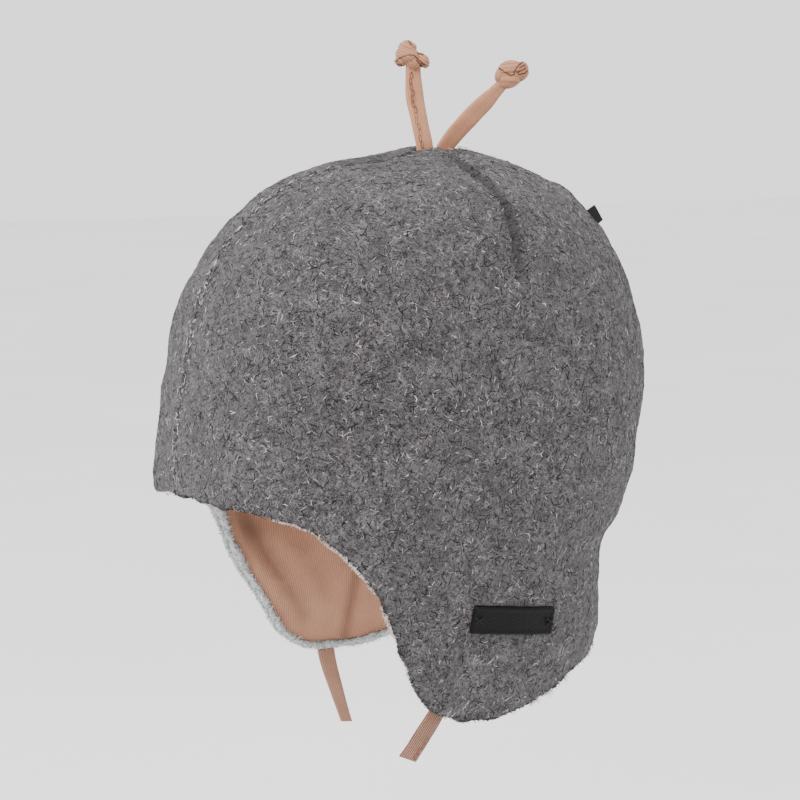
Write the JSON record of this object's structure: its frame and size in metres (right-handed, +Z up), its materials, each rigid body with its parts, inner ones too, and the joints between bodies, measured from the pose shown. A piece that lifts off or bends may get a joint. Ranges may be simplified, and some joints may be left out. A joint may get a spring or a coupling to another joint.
{
  "type": "baby hat with ears",
  "caption": "Helmet-shaped winter baby hat of grey wool with a jersey lining, pale fleece edge, ear flaps with short ties and knotted strips on top that stand for ears.",
  "frame": {"origin": "top of the hollow, on the hat's middle plane, where the crown rests on the wearer's head", "axes": "+Z up toward the ears, -Y toward the face opening, +X toward the wearer's left side, where the patch is"},
  "size_m": [0.1324, 0.154, 0.2281],
  "materials": {
    "wool": "matte felted wool",
    "fleece": "matte brushed fleece",
    "lining": "matte fine rib jersey",
    "strap": "matte rib jersey",
    "patch": "satin",
    "tab": "matte woven ribbon"
  },
  "bodies": {
    "root": {"panel_left": "wool", "panel_right": "wool", "fleece_edge": "fleece", "jersey_lining": "lining", "ear_front": "strap", "ear_back": "strap", "tie_left": "strap", "tie_right": "strap", "label_patch": "patch", "back_tag": "tab"}
  },
  "joints": []
}
